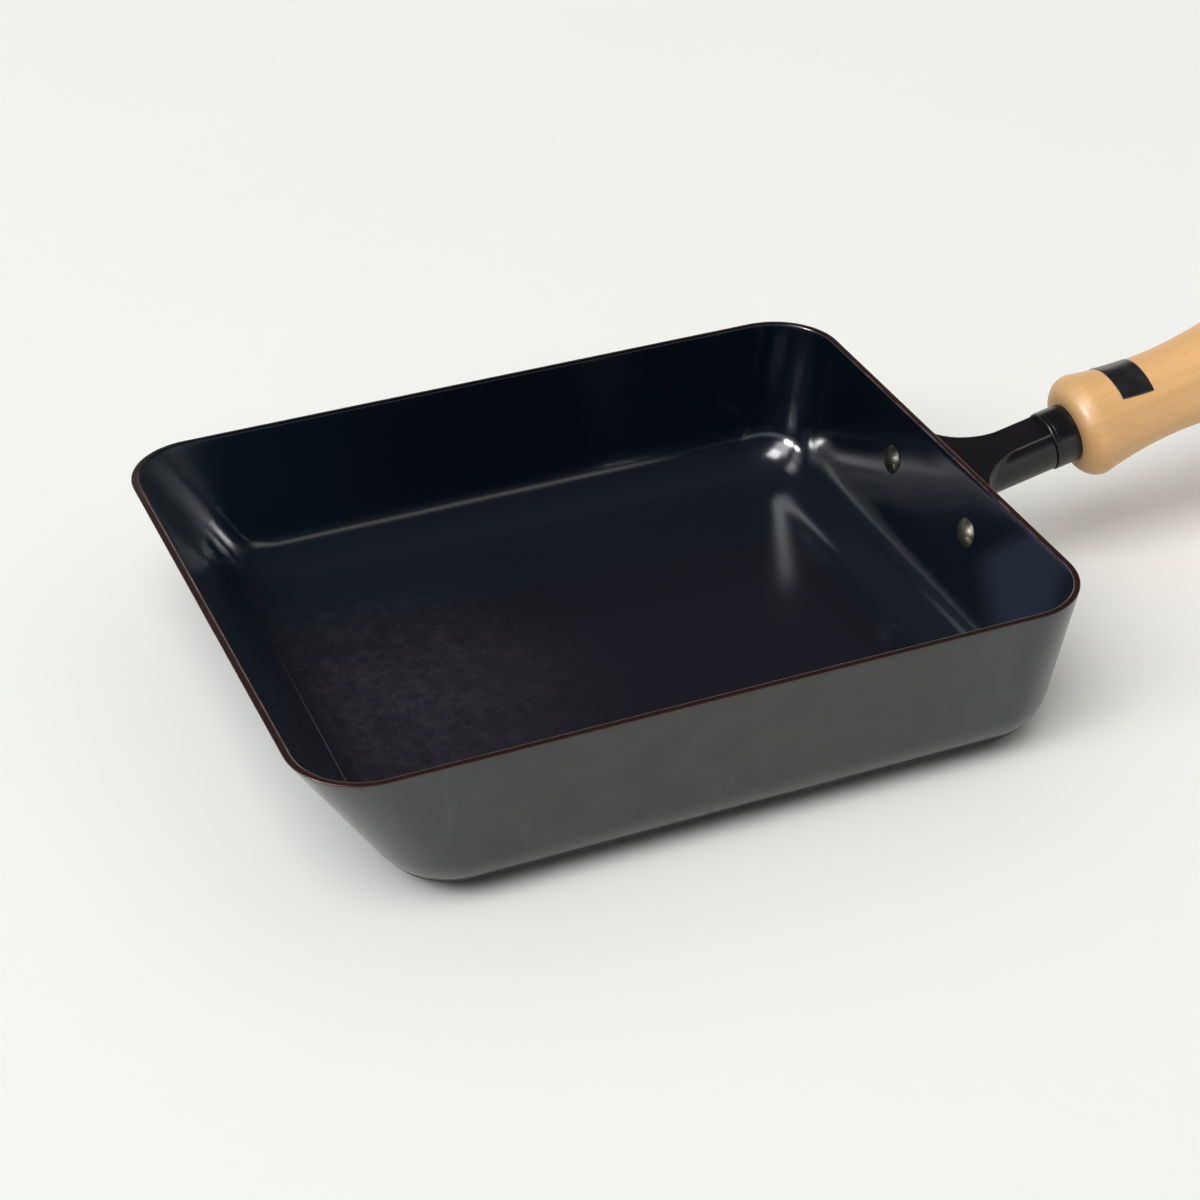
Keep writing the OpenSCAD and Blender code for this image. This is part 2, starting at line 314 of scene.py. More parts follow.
def round_outline(middles, corner, corner_steps, side_steps):
    """x and y of round-cornered rectangles, one in each row: quarter circles of the corner's
    radius about the four middles, in turn, and the points between them on the straight sides."""
    across = np.linspace(0, 1, side_steps + 2)[1:-1]
    rows = []
    for k, wave in enumerate((np.cos, np.sin)):
        parts = []
        for q, middle in enumerate(middles):
            arc = middle[k] + corner * wave((q + np.linspace(0, 1, corner_steps)) * TAU / 4)
            parts += [arc, arc[:, -1:] + (middles[(q + 1) % 4][k] - middle[k]) * across]
        rows.append(np.concatenate(parts, 1))
    return rows


def dome(width, height, base, up, steps=14):
    """Profile points of a low ball-shaped head from its top to its edge: radius B sin a and
    distance base + up (height - B + B cos a), where B is the ball's radius."""
    ball = (width * width / 4 + height * height) / (2 * height)
    a = np.linspace(0, math.asin(width / 2 / ball), steps)
    return np.stack([ball * np.sin(a), base + up * (height - ball + ball * np.cos(a))], -1)


# Finishes


class Signal:
    """One socket of a node tree. Arithmetic on it adds Math nodes."""

    def __init__(self, nodes, socket):
        self.nodes, self.socket = nodes, socket

    def _math(self, operation, a, b=0.0, **more):
        return self.nodes.add("Math", {"operation": operation, **more}, {0: a, 1: b})

    def __add__(self, other):
        return self._math("ADD", self, other)

    __radd__ = __add__

    def __mul__(self, other):
        return self._math("MULTIPLY", self, other)

    def __sub__(self, other):
        return self._math("SUBTRACT", self, other)

    def __rsub__(self, other):
        return self._math("SUBTRACT", other, self)

    def __pow__(self, power):
        return self._math("POWER", self, power)

    def clamped(self):
        """The value kept from 0 to 1."""
        return self._math("ADD", self, 0.0, use_clamp=True)

    def over(self, low, high, to_low=0.0, to_high=1.0):
        """A smooth step from to_low, below low, up to to_high, above high."""
        return self.nodes.add("MapRange", {"interpolation_type": "SMOOTHSTEP"},
                              {"Value": self, "From Min": low, "From Max": high,
                               "To Min": to_low, "To Max": to_high})

    def under(self, low, high):
        """1 below low, 0 above high, and a smooth step between."""
        return 1 - self.over(low, high)

    def band(self, low, full, fade, high):
        """0 below low and above high, 1 from full to fade, and smooth steps between."""
        return self.over(low, full) * self.under(fade, high)


class Nodes:
    """The node tree of a material or a world, made by expressions on Signals."""

    def __init__(self, owner):
        self.owner = owner
        owner.use_nodes = True
        self.tree = owner.node_tree
        self.tree.nodes.clear()

    def plug(self, socket, value):
        """Links a Signal to a socket, or sets the socket to a plain value."""
        if isinstance(value, Signal):
            self.tree.links.new(value.socket, socket)
        elif hasattr(value, "__len__") and len(socket.default_value) == 4 and len(value) == 3:
            socket.default_value = (*value, 1.0)
        else:
            socket.default_value = value

    def add(self, kind, settings, inputs, out=0):
        """One shader node of any kind: its settings first, then its sockets."""
        node = self.tree.nodes.new("ShaderNode" + kind)
        for name, value in settings.items():
            setattr(node, name, value)
        for name, value in inputs.items():
            self.plug(node.inputs[name], value)
        return Signal(self, node.outputs[out] if len(node.outputs) else None)

    def axis(self, vector, index):
        """One coordinate of a vector."""
        return self.add("SeparateXYZ", {}, {"Vector": vector}, index)


class Finish(Nodes):
    """The nodes of one material round a Principled surface."""

    def __init__(self, name):
        super().__init__(bpy.data.materials.new(name))
        surface = self.add("BsdfPrincipled", {}, {})
        self.inputs = surface.socket.node.inputs
        self.add("OutputMaterial", {}, {"Surface": surface})
        self.place = self.add("TexCoord", {}, {}, "Object")

    def noise(self, scale, detail, rough, vector=None, warp=0.0):
        """Grey noise from 0 to 1 about 0.5, scale in lumps a metre."""
        return self.add("TexNoise", {},
                        {"Vector": vector or self.place, "Scale": scale, "Detail": detail,
                         "Roughness": rough, "Distortion": warp})

    def stretch(self, vector, turn=(0, 0, 0), scale=(1, 1, 1), shift=(0, 0, 0)):
        """Coordinates moved, turned and then scaled along their own axes."""
        for socket, value in (("Location", shift), ("Rotation", turn), ("Scale", scale)):
            vector = self.add("Mapping", {}, {"Vector": vector, socket: value})
        return vector

    def mark(self, name):
        """A point attribute of the piece."""
        return self.add("Attribute", {"attribute_name": name}, {}, "Fac")

    def mix(self, factor, a, b):
        """Colour a where the factor is 0 and b where it is 1."""
        return self.add("Mix", {"data_type": "RGBA"}, {0: factor, 6: a, 7: b}, 2)

    def coats(self, paint, *layers):
        """A colour under layers, each a factor and a colour of its own."""
        for factor, layer in layers:
            paint = self.mix(factor, paint, layer)
        return paint

    def bump(self, height, distance, below=None):
        """A bump of a height from 0 to 1, distance deep in metres, on the bump below it."""
        inputs = {"Height": height, "Distance": distance}
        return self.add("Bump", {}, {**inputs, "Normal": below} if below else inputs)

    def give(self, **sockets):
        """Feeds the surface's sockets and gives the material."""
        for socket, value in sockets.items():
            self.plug(self.inputs[socket.replace("_", " ")], value)
        return self.owner


def steel_sheet(looks):
    """Oiled black iron: grey and rubbed outside, blue-black inside, bare brown at the cut edge."""
    f = Finish("black_steel_sheet")
    inside, lip, across = f.mark("inside"), f.mark("lip"), f.mark("across")
    x, y, z = (f.axis(f.place, k) for k in range(3))
    cloud = f.noise(22, 4, 0.55)
    smear = f.noise(210, 3, 0.6, f.stretch(f.place, scale=(1, 1, 0.18)))
    fog = f.noise(300, 7, 0.8)
    dots = f.add("TexVoronoi", {"feature": "F1"}, {"Vector": f.place, "Scale": 1450.0})
    speck = dots.under(0.1, 0.34) * f.noise(640, 2, 0.5).over(0.44, 0.62)
    # Outside: mottling, upright rub marks, a painted reflection that makes both ends lighter and
    # bluer, the front one most, painted shade on the foot, and a painted highlight line above it
    rubs = smear.over(0.58, 0.78) * cloud.over(0.45, 0.6)
    # Painted shade: the bottom 8 mm is dark, rough and metallic, standing in for the shadowed
    # table that the bottom curve mirrors
    foot = z.under(0.0072, 0.0086)
    # Painted highlight: a pale line just above the dark foot
    crest_highlight = z.band(0.0084, 0.0092, 0.0098, 0.0112)
    mottle = f.noise(95, 6, 0.7).over(0.42, 0.62)
    # Painted reflection: the ends lighter and bluer, as where the sheet mirrors the table at
    # grazing angles, broken up by rub streaks and mottling
    front_sheen = x.under(-0.08, -0.05)
    blue = (x.over(0.052, 0.066) + front_sheen) * (0.4 + smear.over(0.4, 0.76) * 0.6)
    outer = f.coats(looks.outside,
                    (cloud.over(0.42, 0.66), (0.009, 0.0095, 0.0115)),
                    (blue, (0.019, 0.022, 0.029)),
                    (front_sheen * (0.55 + mottle * 0.45), (0.031, 0.033, 0.036)),
                    (mottle * 0.45, (0.026, 0.026, 0.027)),
                    (rubs * 0.4, (0.06, 0.058, 0.058)),
                    (crest_highlight * (0.25 + mottle * 0.4), (0.05, 0.051, 0.053)),
                    (foot, (0.003, 0.003, 0.005)))
    # Inside: a drier floor with a browner middle, a grey brown bloom and fine specks over its
    # near front part, splashes on the front wall, and painted light on the near end of the
    # handle's wall
    floor = z.under(0.003, 0.016)
    front = x.under(-0.088, -0.07)
    near = y.under(-0.03, 0.045)
    level = z + y * 0.073
    slant = z + y * 0.3
    stain = (y + x * 0.055).under(0.0365, 0.0395) * x.under(0.0695, 0.0735)
    # Painted light: a brighter, bluer pool on the near end of the handle's wall, cut off along a
    # diagonal painted shadow edge
    end = (x.over(0.07, 0.086) * (y + z).under(-0.007, 0.003) * (z - y).over(0.042, 0.066)
           * y.over(-0.068, -0.054))
    # Two pale painted highlight lines above the floor, on the near wall and on the front one
    near_highlight_line = (level.band(0.0076, 0.0083, 0.0087, 0.0097) * x.under(-0.07, -0.067)
              * y.under(-0.02, 0.034) * (0.7 + fog * 0.5))
    front_highlight_line = (slant.band(0.0045, 0.0065, 0.008, 0.01) * front * y.under(-0.042, -0.02)
             * (fog.over(0.4, 0.62) * 0.5 + speck * 0.5))
    reach = ((x + 0.052) ** 2 + ((y - 0.004) * 0.9) ** 2) ** 0.5
    bloom = reach.under(0.002, 0.066) * floor
    splash = front * speck * y.under(-0.052, -0.01) * fog.over(0.42, 0.6)
    dusty = (bloom * (0.08 + fog.over(0.34, 0.76) * 0.42) + bloom * speck * 0.42
             + speck * floor * fog.over(0.48, 0.62) * 0.2 + splash * 0.8).clamped()
    inner = f.coats(looks.inside,
                    (cloud.over(0.4, 0.7), (0.0022, 0.004, 0.008)),
                    (x.under(-0.085, 0.01) * 0.75, (0.005, 0.0125, 0.024)),
                    # Painted light: the near end of the handle's wall lighter and bluer
                    (x.over(0.07, 0.086) * near * 0.7, (0.006, 0.0095, 0.017)),
                    (floor, looks.floor),
                    (stain * level.under(0.0076, 0.0088), looks.stain),
                    (end * 0.9, (0.026, 0.037, 0.061)),
                    (front * (1 - floor) * 0.6, (0.012, 0.02, 0.029)),
                    (near_highlight_line, (0.165, 0.16, 0.17)),
                    (front_highlight_line, (0.11, 0.108, 0.118)),
                    (dusty, looks.dust))
    # The cut edge: bare brown on the near and front sides, fading to black on the far side
    nick = f.noise(120, 3, 0.6)
    handled = 1 - (y - x * 0.3).over(0.02, 0.07) * x.over(-0.094, -0.084) * 0.92
    worn = lip * handled * nick.over(0.2, 0.36)
    black_lip = lip * (1 - handled)
    # Painted highlight: a paler copper line along the inner side of the cut edge
    line = across.band(0.62, 0.8, 0.86, 0.98) * nick.over(0.4, 0.66)
    edge = f.mix(line, looks.bare_edge, (0.2, 0.105, 0.085))
    paint = f.coats(f.mix(inside, outer, inner), (worn, edge))
    # The far left corner is duller, so that it mirrors less of the window
    dull = x.under(-0.08, -0.062) * y.over(0.045, 0.06) * z.over(0.017, 0.024)
    gloss_in = (looks.inside_gloss + (cloud - 0.5) * 0.05 + floor * 0.03 + dusty * 0.35
                + front * 0.12 + dull * 0.22)
    gloss_out = (looks.outside_gloss + (cloud - 0.5) * 0.12 + rubs * 0.15 + mottle * 0.06
                 + foot * 0.35)
    gloss = gloss_in * inside + gloss_out * (1 - inside) + black_lip * 0.22 + worn * 0.05
    metal = worn * 0.5 + black_lip * 0.95 + foot * (1 - inside) * 0.85
    wave = f.bump(f.noise(38, 1, 0.4), 0.00012)
    grain = f.bump(f.noise(1500, 2, 0.6), 0.000008, wave)
    return f.give(Base_Color=paint, Roughness=gloss, Metallic=metal,
                  Normal=grain, Specular_IOR_Level=0.72)


def forged_iron(name, looks, brown=1.0):
    """Black forge skin: a close hammered grain with brown clouds and a painted highlight along the
    crease at the edge of the flat top, where the piece marks one."""
    f = Finish(name)
    cloud = f.noise(60, 3, 0.5)
    grain = f.noise(900, 3, 0.65)
    lump = f.noise(190, 2, 0.5)
    # Painted highlight: a paler line beside the flat top's creases
    crease = f.mark("flat").band(0.05, 0.45, 0.75, 0.98) * cloud.over(0.3, 0.5)
    paint = f.coats(looks.forged,
                    (cloud.over(0.4, 0.68), (0.0066 * brown, 0.0052, 0.0066)),
                    (grain.over(0.62, 0.78) * 0.35, (0.045, 0.042, 0.04)),
                    (crease * 0.8, (0.085, 0.075, 0.07)))
    rough = 0.31 + (grain - 0.5) * 0.06 + (cloud - 0.5) * 0.12
    return f.give(Base_Color=paint, Roughness=rough, Specular_IOR_Level=0.4,
                  Normal=f.bump(grain, 0.00001, f.bump(lump, 0.00008)))


def rivet_steel(looks):
    """Oiled mild steel with an olive heat tint, and painted shade that darkens the far rivet."""
    f = Finish("rivet_steel")
    cloud = f.noise(420, 3, 0.6)
    grain = f.noise(1600, 2, 0.6)
    # Painted shade: the far rivet darker than the near one
    far = f.axis(f.place, 1).over(-0.01, 0.01)
    paint = f.coats(looks.rivet,
                    (cloud.over(0.4, 0.66), (0.055, 0.052, 0.042)),
                    (far * 0.75, (0.015, 0.014, 0.011)))
    rough = 0.34 + (cloud - 0.5) * 0.25
    return f.give(Base_Color=paint, Roughness=rough, Metallic=0.6 + cloud * 0.2,
                  Normal=f.bump(grain, 0.00003, f.bump(cloud, 0.0001)),
                  Specular_IOR_Level=0.5)


def bright_steel(looks, turn):
    """Turned steel of the stud, with fine rings round its axis."""
    f = Finish("bright_steel")
    rings = f.noise(2600, 2, 0.6, f.stretch(f.place, (0, turn, 0), (1, 0.02, 0.02)))
    cloud = f.noise(150, 2, 0.5)
    paint = f.mix(cloud.over(0.35, 0.75), looks.stud, (0.42, 0.41, 0.39))
    return f.give(Base_Color=paint, Roughness=0.26 + rings * 0.12, Metallic=1.0,
                  Normal=f.bump(rings, 0.00001))


def beech_wood(looks, turn, nose):
    """Oiled beech with its grain along the handle: pale growth bands, fine streaks, the short
    dark flecks of the rays, a few spots, and a dark shadow on the neck in the ferrule."""
    f = Finish("beech")
    near = f.stretch(f.place, (0, turn, 0), shift=tuple(-nose))
    bands = f.noise(7, 2, 0.45, f.stretch(near, (0.5, 0, 0), (0.9, 9, 26)), warp=0.6)
    streak = f.noise(30, 4, 0.62, f.stretch(near, scale=(1, 26, 26)))
    fleck = f.noise(1050, 2, 0.55, f.stretch(near, scale=(0.16, 1, 1)))
    spot = f.noise(120, 2, 0.5, f.stretch(near, scale=(0.3, 1, 1)))
    paint = f.coats(looks.beech,
                    (bands.over(0.38, 0.66), [0.9 * part for part in looks.beech]),
                    (streak.over(0.46, 0.74) * 0.24, looks.beech_dark),
                    (fleck.over(0.6, 0.72) * 0.26, looks.beech_dark),
                    (spot.over(0.74, 0.8) * 0.5, (0.42, 0.16, 0.07)))
    paint = f.mix(f.axis(near, 0).over(-0.0012, -0.0004), (0.01, 0.008, 0.006), paint)
    rough = 0.36 + streak * 0.1 + fleck.over(0.6, 0.72) * 0.08
    return f.give(Base_Color=paint, Roughness=rough, Specular_IOR_Level=0.5,
                  Normal=f.bump(streak * 0.6 + fleck * 0.4, 0.00004))


def black_label(looks):
    """Bare black film with a faint bloom and a pale cut edge."""
    f = Finish("black_label")
    cloud = f.noise(260, 3, 0.6)
    paint = f.coats(looks.label,
                    (cloud.over(0.4, 0.7), (0.021, 0.021, 0.024)),
                    (f.mark("rim") * 0.4, (0.1, 0.09, 0.09)))
    return f.give(Base_Color=paint, Roughness=0.24 + cloud * 0.12,
                  Normal=f.bump(f.noise(2600, 2, 0.5), 0.00001),
                  Specular_IOR_Level=0.5)


def pale_table(looks):
    """Matt pale table top with the faintest unevenness."""
    f = Finish("pale_table")
    cloud = f.noise(3.0, 2, 0.5)
    paint = f.mix(cloud.over(0.3, 0.7), looks.table, [0.985 * part for part in looks.table])
    return f.give(Base_Color=paint, Roughness=0.55 + cloud * 0.05, Specular_IOR_Level=0.25)


# Operators


class PANLOOK_OT_body(Operator):
    """Build the pressed pan"""

    bl_idname = "panlook.body"
    bl_label = "Pan body"
    bl_options = {"REGISTER", "UNDO"}

    corner_steps = 20
    side_steps = 44
    curve_steps = 15
    climb_steps = 20
    lip_steps = 6
    floor_scales = np.array([0.02, 0.15, 0.35, 0.55, 0.72, 0.86, 0.95, 0.985])

    def wall(self, z, draft, radius):
        """Distance in from the rim's outer edge to the wall at height z: a straight slope above
        the point where it meets the bottom curve, and a circle of the radius below it."""
        pan = self.pan
        middle = ((pan.height - pan.fillet * (1 - math.sin(draft))) * math.tan(draft)
                  + pan.fillet * math.cos(draft))
        join = pan.fillet - radius * math.sin(draft)
        slope = middle - radius * math.cos(draft) - (z - join) * math.tan(draft)
        curve = middle - np.sqrt(np.maximum(0.0, radius ** 2 - (pan.fillet - z) ** 2))
        return np.where(z >= join, slope, curve)

    def ring(self, z, radius, top_corner, cut, scale):
        """Round-cornered rectangles, one for each height z: straight sides at the walls'
        distances, quarter circles between, drawn in by cut, and shrunk about their middle by
        scale. A ring has corner_steps points on each corner and side_steps on each side."""
        pan = self.pan
        z, cut, scale = (np.asarray(v, float)[:, None] for v in (z, cut, scale))
        side = self.wall(z, pan.side_draft, radius)
        low = self.wall(np.array(pan.fillet - radius), pan.side_draft, radius)
        high = self.wall(np.array(pan.height), pan.side_draft, radius)
        corner = pan.floor_corner + (top_corner - pan.floor_corner) * (low - side) / (low - high)
        corner = corner - cut
        half = pan.rim_length / 2
        x_handle = half - self.wall(z, pan.handle_draft, radius) - cut - corner
        x_front = self.wall(z, pan.front_draft, radius) - half + cut + corner
        y_side = pan.rim_width / 2 - side - cut - corner
        middles = [(x_handle, y_side), (x_front, y_side), (x_front, -y_side),
                   (x_handle, -y_side)]
        x, y = round_outline(middles, corner, self.corner_steps, self.side_steps)
        middle = (x.max(1, keepdims=True) + x.min(1, keepdims=True)) / 2
        return np.stack([middle + (x - middle) * scale, y * scale, z + 0 * x], -1)

    def shell(self, radius, floor, top_corner, roll):
        """Rings of one face of the sheet: flat ones that grow over the floor, then the bottom
        curve, the wall and the lip's quarter circle, which rolls in (1) or out (-1)."""
        pan = self.pan
        curve = pan.fillet - radius * np.cos(np.linspace(0, TAU / 4, self.curve_steps))
        climb = np.linspace(0, 1, self.climb_steps)[1:-1]
        wall = curve[-1] + (pan.height - pan.lip - curve[-1]) * climb
        a = np.linspace(0, TAU / 4, self.lip_steps)
        flat = np.full(len(self.floor_scales), floor)
        z = np.concatenate([flat, curve, wall, pan.height - pan.lip * (1 - np.sin(a))])
        cut, scale = np.zeros(len(z)), np.ones(len(z))
        cut[-len(a):] = roll * pan.lip * (1 - np.cos(a))
        scale[:len(flat)] = self.floor_scales
        return self.ring(z, radius, top_corner, cut, scale)

    def execute(self, context):
        scene = context.scene
        self.pan = pan = scene.omelette_pan
        outer = self.shell(pan.fillet, 0.0, pan.rim_corner, 1)
        inner = self.shell(pan.fillet - pan.sheet, pan.sheet, pan.rim_corner - pan.sheet, -1)
        rings = np.concatenate([outer, self.dented(scene.omelette_rivets, inner)[::-1]])
        m, n = outer.shape[:2]
        lip_depth, lip_fade = 0.42 * MM, 0.22 * MM
        # Marks: 0 outside to 1 inside, 0 to 1 across the cut edge, and 1 on the lip
        inside = np.repeat([0.0, 1.0], m)
        inside[m - 3:m + 3] = [0.1, 0.3, 0.5, 0.5, 0.7, 0.9]
        across = np.repeat([0.0, 1.0], m)
        across[m - 6:m + 6] = [*np.linspace(0, 0.4, 6), *np.linspace(0.6, 1, 6)]
        lip = np.clip((rings[..., 2] - (pan.height - lip_depth)) / lip_fade, 0, 1)
        marks = {"inside": np.repeat(inside[:, None], n, 1), "lip": lip,
                 "across": np.repeat(across[:, None], n, 1)}
        poles = [np.array([r[..., 0].mean(), 0.0, r[0, 2]]) for r in (rings[0], rings[-1])]
        add_piece(skin_mesh("pan_shell", rings, poles, marks),
                  steel_sheet(scene.omelette_finishes), "black_steel_sheet", "pan_body")
        return {"FINISHED"}

    def dented(self, rivets, rings):
        """The inner rings with the riveted wall pushed in and out: a soft hollow round each
        rivet, the Gauss curve exp(-d d / 2 w w), on a slow wave along the wall. The push comes
        in along the pan's length and over the wall's foot, and fades out under the rim."""
        pan = self.pan
        hollow, wave, wave_shift, wave_reach = 6.5 * MM, 46 * MM, 12 * MM, 60 * MM
        x_start, x_blend, foot, foot_blend, rim_blend = 60 * MM, 25 * MM, 10 * MM, 15 * MM, 4 * MM
        x, y, z = rings[..., 0], rings[..., 1], rings[..., 2]
        on_wall = np.clip((x - x_start) / x_blend, 0, 1) * np.clip((z - foot) / foot_blend, 0, 1)
        on_wall = on_wall * np.clip((pan.height - z) / rim_blend, 0, 1)
        push = 0.55 * np.sin(TAU * (y + wave_shift) / wave)
        push = push * np.clip(1 - (y / wave_reach) ** 2, 0, 1)
        for side in (1, -1):
            far = (y - side * rivets.pitch / 2) ** 2 + (z - (pan.height - rivets.drop)) ** 2
            push = push + np.exp(-far / (2 * hollow ** 2))
        moved = rings.copy()
        moved[..., 0] += 0.8 * pan.dent * push * on_wall
        return moved


class PANLOOK_OT_bracket(Operator):
    """Build the forged handle bracket"""

    bl_idname = "panlook.bracket"
    bl_label = "Handle bracket"
    bl_options = {"REGISTER", "UNDO"}

    @staticmethod
    def box_reach(sin, cos, half, below, above, corner):
        """Distance from the axis to a rectangle with round lower corners, along the direction
        (sin, cos) from the top: the nearer of the side and the top or bottom, or where the
        direction lands past a corner's middle, the far crossing of the corner's circle."""
        reach = np.minimum(half / np.maximum(np.abs(sin), 1e-9),
                           np.where(cos > 0, above, below) / np.maximum(np.abs(cos), 1e-9))
        my, mh = half - corner, below - corner
        along = np.abs(sin) * my - cos * mh
        inside = along ** 2 - (my ** 2 + mh ** 2 - corner ** 2)
        round_reach = along + np.sqrt(np.maximum(inside, 0))
        in_corner = (reach * np.abs(sin) > my) & (-reach * cos > mh)
        return np.where(in_corner, np.minimum(reach, round_reach), reach)

    @staticmethod
    def soft_least(a, b, blend):
        """The smaller of two lengths, with the corner between them rounded over the blend."""
        h = np.clip(0.5 + 0.5 * (b - a) / blend, 0, 1)
        return b + (a - b) * h - blend * h * (1 - h)

    def execute(self, context):
        scene = context.scene
        b, rivets, pan = scene.omelette_bracket, scene.omelette_rivets, scene.omelette_pan
        wall, handle = wall_axes(scene), handle_axes(scene)
        slope = pan.handle_draft + b.tilt
        c, t = math.cos(slope), math.tan(slope)
        start = handle.origin - wall.origin
        axis_n, axis_v = start @ wall.along, start @ wall.up
        radius, overlap = b.stub / 2, 0.3 * MM
        half = math.sqrt(radius ** 2 - b.flat ** 2) - overlap
        end_n, end_y = b.thickness - overlap + b.sweep, half + b.sweep
        join, join_length, web_corner = 1.2 * MM, 8 * MM, 2.5 * MM
        bevel, worn, seat_depth = 0.4 * MM, 0.4 * MM, 6 * MM

        def flange(n, sin, cos):
            """The flange's outline in a section n from the wall."""
            below = (b.drop + axis_v + (n - axis_n) * t) * c
            return self.box_reach(sin, cos, b.width / 2, below, b.flat, b.corner)

        def sweep(n, sin, cos):
            """The web between its two concave sweeps, joined softly to the round stub."""
            side = end_y - np.sqrt(np.maximum(b.sweep ** 2 - np.maximum(end_n - n, 0) ** 2, 0))
            rise = np.clip((b.thickness + b.under - n) / b.under, 0, 1)
            below = b.flat + b.under * (1 - np.sqrt(np.maximum(1 - rise ** 2, 0)))
            corner = np.minimum(web_corner, np.minimum(side, below) * 0.6)
            web = self.box_reach(sin, cos, side, below, b.flat * 1.6, corner)
            blend = join * np.clip((end_n - n) / join_length, 0.04, 1)
            return -self.soft_least(-web, np.full_like(web, -radius), blend)

        def crease(n, outline):
            """The direction, from the top, at which an outline leaves the flat top."""
            a = np.linspace(0.3, 1.55, 600)
            rise = outline(n, np.sin(a), np.cos(a)) * np.cos(a) - b.flat
            on_top = np.where(rise >= -1e-7)[0]
            return a[on_top.max()] if len(on_top) else a[np.abs(rise).argmin()]

        def directions(edge, tops=28, lows=100):
            """Directions round a section, crowded at the flat top's two creases."""
            u = np.linspace(-1, 1, tops + 1)
            crowd = np.sign(u) * (1 - (1 - np.abs(u)) ** 1.8)
            top = np.arctan(crowd * math.tan(edge))
            w = np.linspace(0, 1, lows + 1)[1:-1]
            ease = np.where(w < 0.5, (2 * w) ** 1.7 / 2, 1 - (2 - 2 * w) ** 1.7 / 2)
            low = edge + (TAU - 2 * edge) * ease
            return np.concatenate([top, low])

        rings, flats = [], []

        def capped(reach, cos):
            """A reach cut by the flat top, with the crease between them rounded."""
            cap = b.flat / np.maximum(cos, 1e-6)
            return np.where(cos > 0.02, self.soft_least(reach, cap, b.crease), reach)

        def lay(s, reach, sin, cos, lean=1.0):
            """One ring where a section leans over the axis at s, and its mark: 1 on the flat
            top and fading beside it."""
            y, h = reach * sin, reach * cos
            rings.append(handle.place(s + lean * h * t, y, h))
            flats.append(np.clip(1 - np.abs(h - b.flat) / worn, 0, 1))

        def put(s, edge, outline, inset, lean=1.0):
            """One ring: the outline less the inset, cut by the flat top, at s on the axis."""
            a = directions(edge)
            sin, cos = np.sin(a), np.cos(a)
            lay(s, capped(outline(sin, cos) - inset, cos), sin, cos, lean)

        def on_axis(n):
            """Where the section n from the wall crosses the axis."""
            return (n - axis_n) / c

        thick, edge = b.thickness, b.edge
        flange_edge, foot_edge = crease(thick, flange), crease(thick, sweep)
        for scale in (0.15, 0.4, 0.65, 0.85, 0.96):
            put(on_axis(0.0), flange_edge, lambda s, k: flange(0.0, s, k) * scale, edge)
        for turn in np.linspace(0, TAU / 4, 5):
            n = edge * (1 - math.cos(turn))
            put(on_axis(n), flange_edge, lambda s, k: flange(n, s, k),
                edge * (1 - math.sin(turn)))
        for n in np.linspace(edge, thick - edge, 4)[1:]:
            put(on_axis(n), flange_edge, lambda s, k: flange(n, s, k), 0.0)

        def face(share_in):
            """The flange's face from its outline in to the sweep's foot. Upwards, where both lie
            on the flat top, the rings step along the top instead."""
            a = directions(flange_edge + (foot_edge - flange_edge) * share_in)
            sin, cos = np.sin(a), np.cos(a)
            outline, foot = (capped(f(thick, sin, cos), cos) for f in (flange, sweep))
            foot = np.minimum(foot, outline)
            room = np.clip((outline - foot) / join, 0, 1)
            turn = min(share_in / 0.25, 1.0) * TAU / 4
            inward = max(share_in - 0.25, 0) / 0.75
            inset = np.minimum(edge, (outline - foot) / 2)
            reach = outline - inset * (1 - math.cos(turn))
            reach = reach + (foot - reach) * inward
            n = thick - edge * (1 - math.sin(turn)) + (1 - room) * edge * inward
            lay(on_axis(n), reach, sin, cos)

        def climb(turn):
            """A ring of the sweep: n runs from the face, or on top from where the face's rings
            stopped, to the sweep's end as 1 - cos of a quarter turn."""
            rise = 1 - math.cos(turn * TAU / 4)
            a = directions(crease(thick + (end_n - thick) * rise, sweep))
            sin, cos = np.sin(a), np.cos(a)
            cap = np.where(cos > 0.02, b.flat / np.maximum(cos, 1e-6), 1.0)
            outline, foot = (np.minimum(f(thick, sin, cos), cap) for f in (flange, sweep))
            room = np.clip((outline - foot) / join, 0, 1)
            low = thick + (1 - room) * edge
            n = low + (end_n - low) * rise
            lay(on_axis(n), capped(sweep(n, sin, cos), cos), sin, cos)

        for share_in in np.linspace(0, 1, 17)[1:]:
            face(share_in)
        for turn in np.linspace(0, 1, 34)[1:]:
            climb(turn)
        last, stop = on_axis(end_n), b.stub_length - bevel
        stub_edge = math.acos(b.flat / radius)
        for turn in np.linspace(0, 1, 10)[1:]:
            put(last + (stop - last) * turn, stub_edge, lambda s, k: radius + 0 * s, 0.0,
                1 - turn)
        for turn in np.linspace(0, TAU / 4, 5)[1:]:
            put(b.stub_length - bevel * (1 - math.sin(turn)), stub_edge,
                lambda s, k: radius + 0 * s, bevel * (1 - math.cos(turn)), 0.0)
        poles = [handle.place(s, 0.0, 0.0) for s in (on_axis(0.0), b.stub_length)]
        mesh = skin_mesh("bracket_forging", np.array(rings), poles, {"flat": np.array(flats)})
        piece = add_piece(mesh, forged_iron("black_forged_steel", scene.omelette_finishes),
                          "black_forged_steel", "handle_bracket")
        wide, deep = rivets.tail / 2 + rivets.seat_gap, rivets.seat + seat_depth
        profile = np.array([[0, rivets.seat], [wide, rivets.seat], [wide, deep], [0, deep]])
        cut_away(piece, [turned_mesh("seat", profile, rivet_place(scene, side), 0.0, 96)
                         for side in (1, -1)])
        return {"FINISHED"}


